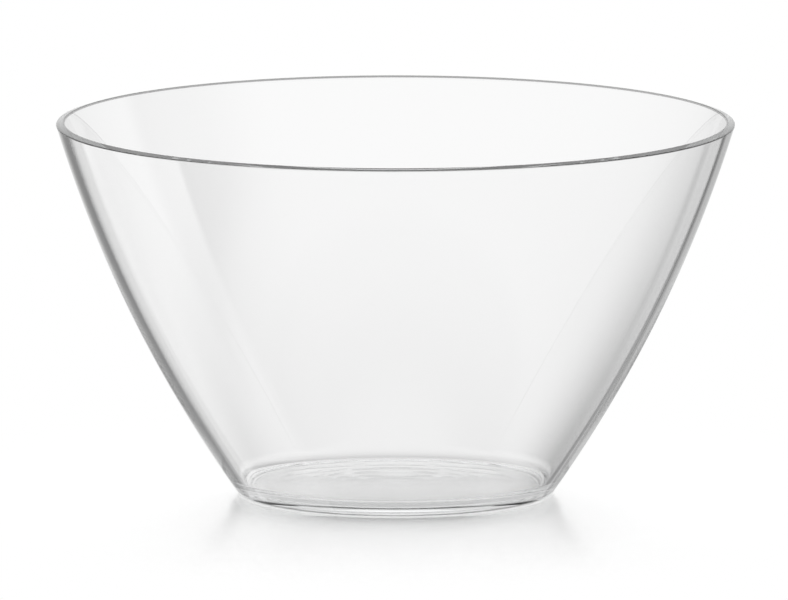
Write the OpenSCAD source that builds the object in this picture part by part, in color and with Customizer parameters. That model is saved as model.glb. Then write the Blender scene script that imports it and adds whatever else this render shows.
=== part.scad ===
// Deep round serving bowl, pressed in one piece from clear glass.
// Its axis is the z axis, and it stands on z = 0. All sizes are in millimetres.

/* [Rim] */
// Outside diameter of the rim, the widest part of the bowl
rim_d = 280; // [220:1:340]
// Height of the rim's inner edge above the surface that the bowl stands on
bowl_h = 155; // [110:1:190]
// Width of the rim's face, its two rounded edges included
rim_w = 3.6; // [2.6:0.1:6]
// Angle by which the rim's face falls towards the outside
rim_fall = 16; // [0:1:25]
// Radius of the two fire-polished edges of the rim
rim_edge_r = 0.5; // [0.3:0.1:1.2]

/* [Wall] */
// Radius of the long arc that the outside of the wall follows from base to rim
wall_curve_r = 540; // [420:10:800]
// Thickness of the wall half way up, square to its surface
wall_t = 3.5; // [2.6:0.1:5]
// Thickness of the wall just above the inside corner, square to its surface
low_wall_t = 4.2; // [3:0.1:7]

/* [Base] */
// Diameter of the flat that the bowl stands on, to where its outer edge starts to round
foot_d = 126; // [90:1:150]
// Radius of the rounded outer edge of the base
foot_edge_r = 3; // [1:0.1:6]
// Diameter of the shallow dish pressed into the underside
dish_d = 104; // [60:1:116]
// Depth of that dish in its middle
dish_h = 0.4; // [0.2:0.1:2]

/* [Inside] */
// Thickness of the floor of the bowl in its middle, over the dish
floor_t = 3.6; // [3:0.1:9]
// Radius of the shallow arc that the floor follows
floor_curve_r = 2700; // [700:50:4000]
// Radius of the corner in which the floor turns up into the wall
corner_r = 12; // [5:0.5:20]

/* [Hidden] */

// Facets of a full turn of the bowl, and of the small rounded edges
turn_fn = 180;
arc_fn = 720;
edge_fn = 96;

// How far the hollow is carried on above the rim, so that it cuts clean through
overrun = 5;

// A patch that clears a sharp corner reaches this many edge radii from the arc's centre
reach_share = 2;

// Point at distance pr from p and qr from q, on the left of the line from p to q
function meet(p, pr, q, qr) =
    let (d = norm(q - p))
    let (along = (pr * pr - qr * qr + d * d) / (2 * d))
    let (across = sqrt(pr * pr - along * along))
    let (u = (q - p) / d)
    p + along * u + across * [-u.y, u.x];

// Unit vector from p to q
function toward(p, q) = (q - p) / norm(q - p);

down = [0, -1];

// Directions square to the rim's face and along it towards the outside
face_up = [sin(rim_fall), cos(rim_fall)];
face_out = [cos(rim_fall), -sin(rim_fall)];

// Centres of the small arcs, as [distance from the axis, height]
face_w = rim_w - 2 * rim_edge_r;
rim_out = [rim_d / 2 - rim_edge_r, bowl_h - rim_edge_r + face_w * face_out.y];
rim_in = rim_out - face_w * face_out;
foot = [foot_d / 2, foot_edge_r];

// The outside arc touches the outer edge of the rim and the edge of the base
outside = meet(foot, wall_curve_r - foot_edge_r, rim_out, wall_curve_r - rim_edge_r);

// The floor is an arc round a point high on the axis
floor_top = dish_h + floor_t;
floor_centre = [0, floor_top + floor_curve_r];

// The inside corner touches the floor and leaves the wall its lower thickness
corner = meet(
    floor_centre, floor_curve_r - corner_r,
    outside, wall_curve_r - low_wall_t - corner_r
);

// The inside arc bends a little more than the outside, to thin the wall half way up
inside_span = norm(rim_in - corner);
mean_t = (rim_w + low_wall_t) / 2;
inside_r = 1 / (1 / wall_curve_r + 8 * (mean_t - wall_t) / (inside_span * inside_span));
inside = meet(corner, inside_r - corner_r, rim_in, inside_r + rim_edge_r);

// Radius of the dish in the underside, a slice of a very large ball
dish_r = (dish_d * dish_d / 4 + dish_h * dish_h) / (2 * dish_h);

// Disc of radius r round a centre in the profile's plane
module disc(centre, r, facets) {
    translate(centre)
        circle(r, $fn = facets);
}

// Rounds the sharp corner of its children that lies between directions a and b
// from the centre, where the arc of radius r touches both sides of the corner
module round_corner(centre, r, a, b) {
    difference() {
        children();
        polygon([
            centre,
            centre + reach_share * r * a,
            centre + reach_share * r * (a + b),
            centre + reach_share * r * b
        ]);
    }
    disc(centre, r, edge_fn);
}

// Everything above the line of the rim's face, from far inside to far outside
module above_rim() {
    start = rim_in + rim_edge_r * face_up;
    polygon([
        start - rim_d * face_out,
        start + rim_d * face_out,
        start + rim_d * (face_out + face_up),
        start - rim_d * (face_out - face_up)
    ]);
}

// Profile of the bowl as a filled body: base, long outer arc and falling rim face
module outer_profile() {
    round_corner(foot, foot_edge_r, toward(outside, foot), down)
        round_corner(rim_out, rim_edge_r, toward(outside, rim_out), face_up)
            difference() {
                intersection() {
                    square([rim_d, bowl_h + overrun]);
                    disc(outside, wall_curve_r, arc_fn);
                }
                above_rim();
            }
}

// Profile of the space inside: shallow floor, rounded corner and long inner arc
module inner_profile() {
    round_corner(corner, corner_r, toward(inside, corner), toward(floor_centre, corner))
        intersection() {
            square([rim_d, bowl_h + overrun]);
            disc(inside, inside_r, arc_fn);
            disc(floor_centre, floor_curve_r, arc_fn);
        }
}

// Profile of the glass itself
module glass_profile() {
    round_corner(rim_in, rim_edge_r, toward(rim_in, inside), face_up)
        difference() {
            outer_profile();
            inner_profile();
            disc([0, dish_h - dish_r], dish_r, arc_fn);
        }
}

// The whole bowl is one piece of glass
module bowl() {
    color([0.80, 0.90, 0.90, 0.55])
        rotate_extrude($fn = turn_fn)
            glass_profile();
}

bowl();
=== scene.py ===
import math

import bpy
import numpy as np
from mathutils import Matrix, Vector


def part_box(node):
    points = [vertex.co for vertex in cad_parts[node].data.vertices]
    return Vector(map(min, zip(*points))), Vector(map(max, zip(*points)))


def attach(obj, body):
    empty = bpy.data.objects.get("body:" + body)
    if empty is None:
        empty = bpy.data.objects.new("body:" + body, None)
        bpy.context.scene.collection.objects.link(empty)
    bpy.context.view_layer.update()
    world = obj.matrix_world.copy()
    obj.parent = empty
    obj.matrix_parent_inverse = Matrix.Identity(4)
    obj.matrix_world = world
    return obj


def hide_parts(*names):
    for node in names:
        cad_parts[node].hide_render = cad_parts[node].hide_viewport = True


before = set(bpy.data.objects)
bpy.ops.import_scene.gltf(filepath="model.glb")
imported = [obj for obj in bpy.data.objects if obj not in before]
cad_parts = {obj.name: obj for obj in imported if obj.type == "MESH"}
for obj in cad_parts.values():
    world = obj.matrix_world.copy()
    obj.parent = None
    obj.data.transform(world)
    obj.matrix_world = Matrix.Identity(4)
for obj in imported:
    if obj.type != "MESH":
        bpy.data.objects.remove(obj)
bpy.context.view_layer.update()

# The camera. The photograph shows the bowl from a little above its rim through a very
# long lens, so the rim's and the base's ellipses have nearly the same shape.
view_elevation = math.radians(8.411)
view_distance = 11.5
view_width = 0.32532
aim = (-0.00062, 0.0, 0.08048)
sensor = 36.0

camera = bpy.data.objects.new("camera", bpy.data.cameras.new("camera"))
bpy.context.scene.collection.objects.link(camera)
bpy.context.scene.camera = camera
camera.data.sensor_width = sensor
camera.data.lens = sensor * view_distance / view_width
camera.data.clip_start = 0.1
camera.data.clip_end = 100.0
camera.location = (
    aim[0],
    aim[1] - view_distance * math.cos(view_elevation),
    aim[2] + view_distance * math.sin(view_elevation),
)
camera.rotation_euler = (math.pi / 2 - view_elevation, 0.0, 0.0)


# The studio round the table, as the world. The camera sees plain white. Glass and gloss see
# a white table that is dimmer in the gaps between eight lights, a white panel on the left with
# a dark flag beside it, a dim right side, a bright room over it and the dark behind the camera.
def link_chain(tree, *sockets):
    """Links sockets in pairs: the first to the second, the third to the fourth and so on."""
    for source, target in zip(sockets[::2], sockets[1::2]):
        tree.links.new(source, target)


def feed(tree, socket, value):
    """Puts a number into a socket, or links another socket to it."""
    if hasattr(value, "links"):
        tree.links.new(value, socket)
    else:
        socket.default_value = value


def maths(tree, operation, a, b=0.0):
    """A Math node on two numbers or sockets."""
    node = tree.nodes.new("ShaderNodeMath")
    node.operation = operation
    feed(tree, node.inputs[0], a)
    feed(tree, node.inputs[1], b)
    return node.outputs[0]


def both(tree, a, b):
    """The product of two masks."""
    return maths(tree, "MULTIPLY", a, b)


def ramp(tree, value, start, end, before, after):
    """Goes from before to after in a smooth step, while value goes from start to end."""
    node = tree.nodes.new("ShaderNodeMapRange")
    node.interpolation_type = "SMOOTHSTEP"
    node.inputs["From Min"].default_value = start
    node.inputs["From Max"].default_value = end
    feed(tree, node.inputs["Value"], value)
    feed(tree, node.inputs["To Min"], before)
    feed(tree, node.inputs["To Max"], after)
    return node.outputs["Result"]


def rising(tree, value, start, end):
    """A mask that goes from 0 to 1 in a smooth step, while value goes from start to end."""
    return ramp(tree, value, start, end, 0.0, 1.0)


def falling(tree, value, start, end):
    """A mask that goes from 1 to 0 in a smooth step, while value goes from start to end."""
    return ramp(tree, value, start, end, 1.0, 0.0)


def window(tree, value, start, end, soft_start, soft_end):
    """A mask that is 1 from start to end, with edges that are soft outwards."""
    rise = rising(tree, value, start - soft_start, start)
    return both(tree, rise, falling(tree, value, end, end + soft_end))


def blend(tree, share, a, b):
    """a * (1 - share) + b * share, for numbers or sockets."""
    node = tree.nodes.new("ShaderNodeMix")
    node.data_type = "FLOAT"
    feed(tree, node.inputs["Factor"], share)
    feed(tree, node.inputs["A"], a)
    feed(tree, node.inputs["B"], b)
    return node.outputs["Result"]


world = bpy.data.worlds.new("studio")
bpy.context.scene.world = world
world.use_nodes = True
tree = world.node_tree
tree.nodes.clear()

# Directions in degrees: turn is 0 straight ahead and grows to the right, height is 0 at the
# horizon and grows upwards. In the lights below, a zone and a pair of heights are a start, an
# end and the widths of the two soft edges, and a rise or a fade is a start and an end.
lights_round = 8
degree = 180.0 / math.pi
parts = tree.nodes.new("ShaderNodeSeparateXYZ")
tree.links.new(tree.nodes.new("ShaderNodeTexCoord").outputs["Generated"], parts.inputs[0])
height = maths(tree, "MULTIPLY", maths(tree, "ARCSINE", parts.outputs["Z"]), degree)
bearing_xy = maths(tree, "ARCTAN2", parts.outputs["X"], parts.outputs["Y"])
turn = maths(tree, "MULTIPLY", bearing_xy, degree)
off_front = maths(tree, "ABSOLUTE", turn)
off_light = maths(tree, "PINGPONG", turn, 180.0 / lights_round)
path = tree.nodes.new("ShaderNodeLightPath")

# The table itself, dimmer far down
deep_light = 0.10
low_light = 0.62
flat_light = 0.90
deep_rise = (-66.0, -46.0)
low_rise = (-46.0, -15.0)
table_light = ramp(tree, height, *deep_rise, deep_light, low_light)
table_light = ramp(tree, height, *low_rise, table_light, flat_light)

# A dimmer band along the right edge of the panel
side_light = 0.76
side_zone = (-37.0, -26.0, 1.5, 3.0)
side_rise = (-40.0, -30.0)
side = both(tree, window(tree, turn, *side_zone), rising(tree, height, *side_rise))
table_light = blend(tree, side, table_light, side_light)

# The white panel on the left, dimmer at its foot
panel_light = 1.14
low_panel_light = 0.55
panel_zone = (-91.0, -38.0, 1.0, 1.5)
panel_fade = (-17.0, -13.0)
panel_rise = (-44.0, -32.0)
panel = both(tree, window(tree, turn, *panel_zone), falling(tree, height, *panel_fade))
panel_tone = ramp(tree, height, *panel_rise, low_panel_light, panel_light)
table_light = blend(tree, panel, table_light, panel_tone)

# The dark flag beside the panel
flag_light = 0.02
low_flag_light = 0.25
flag_zone = (-93.0, -92.0, 52.0, 1.5)
flag_heights = (-70.0, -30.0, 5.0, 8.0)
flag_rise = (-44.0, -37.0)
flag = both(tree, window(tree, turn, *flag_zone), window(tree, height, *flag_heights))
flag_tone = ramp(tree, height, *flag_rise, low_flag_light, flag_light)
table_light = blend(tree, flag, table_light, flag_tone)

# A bright patch deep in front, which the front of the rim shows
under_rim_light = 0.95
under_rim_fade = (30.0, 60.0)
under_rim_heights = (-60.0, -46.0, 6.0, 4.0)
under_rim = window(tree, height, *under_rim_heights)
under_rim = both(tree, falling(tree, off_front, *under_rim_fade), under_rim)
table_light = blend(tree, under_rim, table_light, under_rim_light)

# A slightly brighter middle, straight ahead
centre_light = 0.97
centre_fade = (0.0, 4.0)
centre_rise = (-30.0, -12.0)
centre = ramp(tree, off_front, *centre_fade, centre_light, table_light)
table_light = ramp(tree, height, *centre_rise, table_light, centre)

# The dim gaps between the lights, except over the panel. They are darker on the right, where
# they start a little higher up.
left_gap_light = 0.25
right_gap_light = 0.19
right_half = (-10.0, 10.0)
right_lift = 2.5
gap_rise = (-28.5, -24.5)
gap_fade = (-11.0, -2.0)
left_gap_edge = (0.0, 18.0)
right_gap_edge = (8.0, 22.0)
gapless_zone = (-88.0, -30.0, 7.0, 5.0)
on_right = rising(tree, turn, *right_half)
gap_height = maths(tree, "SUBTRACT", height, maths(tree, "MULTIPLY", on_right, right_lift))
gap = both(tree, rising(tree, gap_height, *gap_rise), falling(tree, height, *gap_fade))
left_edge = rising(tree, off_light, *left_gap_edge)
right_edge = rising(tree, off_light, *right_gap_edge)
gap = both(tree, gap, blend(tree, on_right, left_edge, right_edge))
gap = both(tree, gap, maths(tree, "SUBTRACT", 1.0, window(tree, turn, *gapless_zone)))
gap_light = blend(tree, on_right, left_gap_light, right_gap_light)
table_light = blend(tree, gap, table_light, gap_light)

# One more gap, softer, right of the middle
mid_gap_light = 0.48
mid_gap_zone = (10.0, 24.0, 8.0, 1.0)
mid_gap = both(tree, window(tree, turn, *mid_gap_zone), falling(tree, height, *gap_fade))
table_light = blend(tree, mid_gap, table_light, mid_gap_light)

# The dim right side, dimmer at its foot
right_light = 0.60
low_right_light = 0.23
right_zone = (24.5, 44.0, 1.5, 32.0)
right_rise = (-36.0, -19.0)
right_fade = (-14.0, -8.0)
low = falling(tree, height, *right_fade)
right = both(tree, window(tree, turn, *right_zone), low)
right_tone = ramp(tree, height, *right_rise, low_right_light, right_light)
table_light = blend(tree, right, table_light, right_tone)

# Two dark strips, one on the right side and one just left of it
strip_light = 0.28
strip_zone = (37.0, 39.5, 2.5, 2.0)
strip = both(tree, window(tree, turn, *strip_zone), low)
table_light = blend(tree, strip, table_light, strip_light)
inner_strip_light = 0.17
inner_strip_zone = (20.5, 23.0, 2.5, 1.5)
inner_strip = both(tree, window(tree, turn, *inner_strip_zone), low)
table_light = blend(tree, inner_strip, table_light, inner_strip_light)

# The room over the table, brightest overhead
room_light = 0.78
overhead_light = 1.16
overhead_rise = (50.0, 58.0)
room = ramp(tree, height, *overhead_rise, room_light, overhead_light)

# Straight ahead, a dimmer part high up and a brighter one just over the horizon
front_light = 0.62
front_fade = (8.0, 20.0)
front_heights = (30.0, 39.0, 6.0, 4.0)
front = both(tree, falling(tree, off_front, *front_fade), window(tree, height, *front_heights))
room = blend(tree, front, room, front_light)
ahead_light = 0.94
ahead_fade = (10.0, 20.0)
ahead_heights = (3.0, 12.0, 2.0, 6.0)
ahead = both(tree, falling(tree, off_front, *ahead_fade), window(tree, height, *ahead_heights))
room = blend(tree, ahead, room, ahead_light)

# For light out of the glass only, a dimmer part high up behind the camera. It keeps bright
# flecks off the front of the rim.
high_light = 0.45
high_rise = (85.0, 100.0)
high_heights = (40.0, 58.0, 4.0, 4.0)
high = both(tree, rising(tree, off_front, *high_rise), window(tree, height, *high_heights))
high = both(tree, high, path.outputs["Is Transmission Ray"])
room = blend(tree, high, room, high_light)

# For light off an outer surface only, a white backdrop, and a bright light ahead that the
# face of the rim shows
backdrop_light = 1.00
backdrop_fade = (14.0, 44.0)
mirrored = maths(tree, "SUBTRACT", path.outputs["Is Glossy Ray"], path.outputs["Is Transmission Ray"])
mirrored = maths(tree, "MAXIMUM", mirrored, 0.0)
backdrop = both(tree, mirrored, falling(tree, height, *backdrop_fade))
room = blend(tree, backdrop, room, backdrop_light)
rim_face_light = 1.55
rim_face_fade = (14.0, 30.0)
rim_face_heights = (28.0, 44.0, 8.0, 6.0)
rim_face = window(tree, height, *rim_face_heights)
rim_face = both(tree, falling(tree, off_front, *rim_face_fade), rim_face)
room = blend(tree, both(tree, mirrored, rim_face), room, rim_face_light)

# A dim flag on the right, over the horizon
right_flag_light = 0.38
right_flag_zone = (76.0, 100.0, 10.0, 34.0)
right_flag_heights = (12.0, 26.0, 4.0, 8.0)
right_flag = window(tree, height, *right_flag_heights)
right_flag = both(tree, window(tree, turn, *right_flag_zone), right_flag)
room = blend(tree, right_flag, room, right_flag_light)

# The horizon between table and room, and the dark behind the camera
horizon_rise = (0.0, 3.5)
behind_light = 0.06
behind_rise = (120.0, 150.0)
behind_heights = (-26.0, 14.0, 6.0, 6.0)
seen = ramp(tree, height, *horizon_rise, table_light, room)
behind = both(tree, rising(tree, off_front, *behind_rise), window(tree, height, *behind_heights))
seen = blend(tree, behind, seen, behind_light)

# Glass and gloss see all of that, the camera sees white, and all else is lit by a plain fill
fill_light = 0.60
white_light = 1.0
sharp = maths(tree, "MAXIMUM", path.outputs["Is Glossy Ray"], path.outputs["Is Transmission Ray"])
light = blend(tree, sharp, fill_light, seen)
light = blend(tree, path.outputs["Is Camera Ray"], light, white_light)
background = tree.nodes.new("ShaderNodeBackground")
background.inputs["Color"].default_value = (1.0, 1.0, 1.0, 1.0)
out = tree.nodes.new("ShaderNodeOutputWorld")
link_chain(tree, light, background.inputs["Strength"], background.outputs[0], out.inputs["Surface"])


# The table: a glossy white sheet. It shows the bowl's mirror image close by and its soft
# shade, and light that has come through the glass sees the studio past it, except under the
# foot, where it sees the sheet, darkened there by a painted shade inside the foot's edge.
table_r = 4.0
table_z = -0.0001
table_steps = 128
# Under the foot a painted shade: for all but the camera the sheet glows dimmer there
foot_shade_r = 0.066
painted_foot_shade_light = 0.24
foot_edge_light = 0.53
foot_edge_zone = (0.062, 0.0655)
sheet_colour = (0.5, 0.5, 0.5, 1.0)
sheet_light = 0.575
mirror_share = 0.75
mirror_blur = 0.22
mirror_r = (0.07, 0.25)
shade_r = (0.08, 0.20)

angle = np.linspace(0.0, 2.0 * np.pi, table_steps, endpoint=False)
ring = np.stack([table_r * np.cos(angle), table_r * np.sin(angle), np.full(table_steps, table_z)], axis=1)
table_mesh = bpy.data.meshes.new("table")
table_mesh.from_pydata(ring.tolist(), [], [list(range(table_steps))])
table = bpy.data.objects.new("table", table_mesh)
bpy.context.scene.collection.objects.link(table)

sheet = bpy.data.materials.new("glossy_white_sheet")
sheet.use_nodes = True
tree = sheet.node_tree
tree.nodes.clear()
path = tree.nodes.new("ShaderNodeLightPath")
reach = tree.nodes.new("ShaderNodeVectorMath")
reach.operation = "LENGTH"
tree.links.new(tree.nodes.new("ShaderNodeTexCoord").outputs["Object"], reach.inputs[0])
reach = reach.outputs["Value"]


def shader(kind, **values):
    """A shader node of the sheet, with its sockets set by name."""
    node = tree.nodes.new(kind)
    for name, value in values.items():
        node.inputs[name].default_value = value
    return node


def mixed(share, a, b):
    """A Mix Shader node: a where share is 0, b where it is 1."""
    node = tree.nodes.new("ShaderNodeMixShader")
    feed(tree, node.inputs[0], share)
    link_chain(tree, a, node.inputs[1], b, node.inputs[2])
    return node.outputs[0]


def added(a, b):
    """An Add Shader node."""
    node = tree.nodes.new("ShaderNodeAddShader")
    link_chain(tree, a, node.inputs[0], b, node.inputs[1])
    return node.outputs[0]


paper = shader("ShaderNodeBsdfDiffuse", Color=sheet_colour).outputs[0]
near = added(paper, shader("ShaderNodeEmission", Strength=sheet_light).outputs[0])
far = shader("ShaderNodeEmission", Strength=white_light).outputs[0]
white = mixed(rising(tree, reach, *shade_r), near, far)
gloss = shader("ShaderNodeBsdfGlossy", Color=(1.0, 1.0, 1.0, 1.0), Roughness=mirror_blur).outputs[0]
by_camera = mixed(ramp(tree, reach, *mirror_r, mirror_share, 0.0), white, gloss)
# For all but the camera the sheet glows evenly, except for a painted shade under the foot, where the glow is
# dimmer
glow = shader("ShaderNodeEmission")
feed(tree, glow.inputs["Strength"], ramp(tree, reach, *foot_edge_zone, painted_foot_shade_light, foot_edge_light))
by_rest = added(paper, glow.outputs[0])
seen_sheet = mixed(path.outputs["Is Camera Ray"], by_rest, by_camera)
sharp = maths(tree, "MAXIMUM", path.outputs["Is Glossy Ray"], path.outputs["Is Transmission Ray"])
see_past = maths(tree, "MULTIPLY", maths(tree, "GREATER_THAN", reach, foot_shade_r), sharp)
whole = mixed(see_past, seen_sheet, shader("ShaderNodeBsdfTransparent").outputs[0])
tree.links.new(whole, tree.nodes.new("ShaderNodeOutputMaterial").inputs["Surface"])
table_mesh.materials.append(sheet)


# The lamp: one large soft box straight above.
lamp_size = 1.6
lamp_h = 1.8
lamp_power = 12.0
lamp = bpy.data.objects.new("soft_box", bpy.data.lights.new("soft_box", "AREA"))
lamp.data.shape = "DISK"
lamp.data.size = lamp_size
lamp.data.energy = lamp_power
lamp.location = (0.0, 0.0, lamp_h)
lamp.visible_glossy = False
lamp.visible_transmission = False
bpy.context.scene.collection.objects.link(lamp)


# The bowl: one piece of clear soda-lime glass, pressed in a mould and fire-polished at the
# rim. Its section is a chain of arcs that run smoothly into each other.
MM = 0.001
low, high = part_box("bowl")
rim_r = high.x
bowl_h = high.z
rim_w = 3.6 * MM
rim_fall = math.radians(16)
rim_edge_r = 0.5 * MM
wall_curve_r = 540 * MM
wall_t = 3.5 * MM
low_wall_t = 4.2 * MM
foot_r = 63 * MM
foot_edge_r = 3 * MM
dish_r = 52 * MM
dish_h = 0.4 * MM
floor_t = 3.6 * MM
floor_curve_r = 2700 * MM
corner_r = 12 * MM
turn_steps = 448
floor_steps = 24
corner_steps = 24
wall_steps = 32
rim_in_steps = 10
rim_face_steps = 2
rim_out_steps = 12
foot_edge_steps = 16
foot_steps = 3
dish_steps = 16


def meet(p, pr, q, qr):
    """Point at distance pr from p and qr from q, on the left of the line from p to q."""
    gap = q - p
    d = np.hypot(*gap)
    along = (pr * pr - qr * qr + d * d) / (2.0 * d)
    across = math.sqrt(pr * pr - along * along)
    u = gap / d
    return p + along * u + across * np.array([-u[1], u[0]])


def bearing(p, q):
    """Angle of the direction from p to q in the section's plane."""
    return math.atan2(q[1] - p[1], q[0] - p[0])


def arc(centre, radius, start, end, steps, hollow=False):
    """Points centre + radius (cos a, sin a) for a from start to end, with the surface's
    outward normal at each, which points at the centre on a hollow arc."""
    a = np.linspace(start, end, steps + 1)
    n = np.stack([np.cos(a), np.sin(a)], axis=1)
    return np.asarray(centre) + radius * n, -n if hollow else n


def straight(start, end, normal, steps):
    """Points start + s (end - start) for s from 0 to 1, all with the same normal."""
    s = np.linspace(0.0, 1.0, steps + 1)[:, None]
    return start + s * (end - start), np.tile(normal, (steps + 1, 1))


face_w = rim_w - 2.0 * rim_edge_r
face_up = np.array([math.sin(rim_fall), math.cos(rim_fall)])
face_out = np.array([math.cos(rim_fall), -math.sin(rim_fall)])
rim_out = np.array([rim_r - rim_edge_r, bowl_h - rim_edge_r + face_w * face_out[1]])
rim_in = rim_out - face_w * face_out
foot = np.array([foot_r, foot_edge_r])
outside = meet(foot, wall_curve_r - foot_edge_r, rim_out, wall_curve_r - rim_edge_r)
floor_centre = np.array([0.0, dish_h + floor_t + floor_curve_r])
corner = meet(floor_centre, floor_curve_r - corner_r, outside, wall_curve_r - low_wall_t - corner_r)
span = np.hypot(*(rim_in - corner))
inside_r = 1.0 / (1.0 / wall_curve_r + 8.0 * ((rim_w + low_wall_t) / 2.0 - wall_t) / span ** 2)
inside = meet(corner, inside_r - corner_r, rim_in, inside_r + rim_edge_r)
dish_curve_r = (dish_r ** 2 + dish_h ** 2) / (2.0 * dish_h)
dish_centre = np.array([0.0, dish_h - dish_curve_r])

quarter = math.pi / 2.0
face_start = rim_in + rim_edge_r * face_up
face_end = rim_out + rim_edge_r * face_up
flat_start = np.array([foot_r, 0.0])
flat_end = np.array([dish_r, 0.0])
down = np.array([0.0, -1.0])
dish_start = bearing(dish_centre, flat_end)
pieces = [
    arc(floor_centre, floor_curve_r, -quarter, bearing(floor_centre, corner), floor_steps, hollow=True),
    arc(corner, corner_r, bearing(floor_centre, corner), bearing(inside, corner), corner_steps, hollow=True),
    arc(inside, inside_r, bearing(inside, corner), bearing(inside, rim_in), wall_steps, hollow=True),
    arc(rim_in, rim_edge_r, bearing(rim_in, inside), quarter - rim_fall, rim_in_steps),
    straight(face_start, face_end, face_up, rim_face_steps),
    arc(rim_out, rim_edge_r, quarter - rim_fall, bearing(outside, rim_out), rim_out_steps),
    arc(outside, wall_curve_r, bearing(outside, rim_out), bearing(outside, foot), wall_steps),
    arc(foot, foot_edge_r, bearing(outside, foot), -quarter, foot_edge_steps),
    straight(flat_start, flat_end, down, foot_steps),
    arc(dish_centre, dish_curve_r, dish_start, quarter, dish_steps, hollow=True),
]
line = np.concatenate([pieces[0][0]] + [p[1:] for p, n in pieces[1:]])
lean = np.concatenate([pieces[0][1]] + [n[1:] for p, n in pieces[1:]])


def turned(line, lean, steps):
    """Carries a section once round the z axis: (r, z) goes to (r cos t, r sin t, z). The
    section starts and ends on the axis, so each end is a single point."""
    t = np.linspace(0.0, 2.0 * np.pi, steps, endpoint=False)
    spin = np.stack([np.cos(t), np.sin(t)], axis=1)

    def swept(pairs):
        """Puts each pair (r, z) at (r cos t, r sin t, z) for every t."""
        flat = pairs[:, None, :1] * spin[None, :, :]
        tall = np.repeat(pairs[:, None, 1:], steps, axis=1)
        return np.concatenate([flat, tall], axis=2).reshape(-1, 3)

    body, body_n = swept(line[1:-1]), swept(lean[1:-1])
    rows = len(line) - 2
    i, j = np.meshgrid(np.arange(rows - 1), np.arange(steps), indexing="ij")
    k = (j + 1) % steps
    quads = np.stack([i * steps + j, (i + 1) * steps + j, (i + 1) * steps + k, i * steps + k], axis=2)
    first, last = rows * steps, rows * steps + 1
    j = np.arange(steps)
    k = (j + 1) % steps
    start = np.stack([np.full(steps, first), j, k], axis=1)
    end = np.stack([np.full(steps, last), (rows - 1) * steps + k, (rows - 1) * steps + j], axis=1)
    tips = np.array([[0.0, 0.0, line[0, 1]], [0.0, 0.0, line[-1, 1]]])
    tips_n = np.array([[0.0, 0.0, lean[0, 1]], [0.0, 0.0, lean[-1, 1]]])
    faces = quads.reshape(-1, 4).tolist() + start.tolist() + end.tolist()
    return np.concatenate([body, tips]), np.concatenate([body_n, tips_n]), faces


points, normals, faces = turned(line, lean, turn_steps)
bowl_mesh = bpy.data.meshes.new("glass_bowl")
bowl_mesh.from_pydata(points.tolist(), [], faces)
bowl_mesh.shade_smooth()
bowl_mesh.normals_split_custom_set_from_vertices(normals.tolist())
bowl = bpy.data.objects.new("glass_bowl", bowl_mesh)
bpy.context.scene.collection.objects.link(bowl)

# The glass is clear with a very slight grey. The inner edge of the rim, its lip, carries a painted
# shade in its base colour, so that it reads as a dark line against a pale background.
ior = 1.52
shadow_tint = (0.90, 0.91, 0.91, 1.0)
glass_tint = (0.80, 0.81, 0.81, 1.0)
tint_density = 4.0
painted_lip_shade_z = (154.05 * MM, 154.35 * MM)
painted_lip_shade_r = (137.1 * MM, 137.3 * MM)
painted_lip_shade_tone = 0.20
glass = bpy.data.materials.new("clear_glass")
glass.use_nodes = True
tree = glass.node_tree
tree.nodes.clear()
body = tree.nodes.new("ShaderNodeBsdfPrincipled")
body.inputs["Base Color"].default_value = (1.0, 1.0, 1.0, 1.0)
body.inputs["Roughness"].default_value = 0.0
body.inputs["IOR"].default_value = ior
body.inputs["Transmission Weight"].default_value = 1.0
place = tree.nodes.new("ShaderNodeTexCoord").outputs["Object"]
parts = tree.nodes.new("ShaderNodeSeparateXYZ")
across = tree.nodes.new("ShaderNodeVectorMath")
across.operation = "MULTIPLY"
across.inputs[1].default_value = (1.0, 1.0, 0.0)
off_axis = tree.nodes.new("ShaderNodeVectorMath")
off_axis.operation = "LENGTH"
link_chain(tree, place, parts.inputs[0], place, across.inputs[0], across.outputs[0], off_axis.inputs[0])
# Painted shade: a narrow band at the inner edge of the rim, darker in base colour
painted_lip_shade_mask = rising(tree, parts.outputs["Z"], *painted_lip_shade_z)
painted_lip_shade_mask = both(tree, painted_lip_shade_mask, falling(tree, off_axis.outputs["Value"], *painted_lip_shade_r))
tree.links.new(blend(tree, painted_lip_shade_mask, 1.0, painted_lip_shade_tone), body.inputs["Base Color"])
path = tree.nodes.new("ShaderNodeLightPath")
clear = tree.nodes.new("ShaderNodeBsdfTransparent")
clear.inputs["Color"].default_value = shadow_tint
lit = tree.nodes.new("ShaderNodeMixShader")
tint = tree.nodes.new("ShaderNodeVolumeAbsorption")
tint.inputs["Color"].default_value = glass_tint
tint.inputs["Density"].default_value = tint_density
out = tree.nodes.new("ShaderNodeOutputMaterial")
link_chain(tree, path.outputs["Is Shadow Ray"], lit.inputs[0], body.outputs[0], lit.inputs[1],
           clear.outputs[0], lit.inputs[2], lit.outputs[0], out.inputs["Surface"],
           tint.outputs[0], out.inputs["Volume"])
bowl_mesh.materials.append(glass)

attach(bowl, "root")
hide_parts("bowl")

# Light is guided round in the thick base by many reflections, so paths may be long.
bounces = 40
bpy.context.scene.cycles.max_bounces = bounces
bpy.context.scene.cycles.transmission_bounces = bounces
bpy.context.scene.cycles.glossy_bounces = bounces
bpy.context.scene.view_settings.view_transform = "Standard"
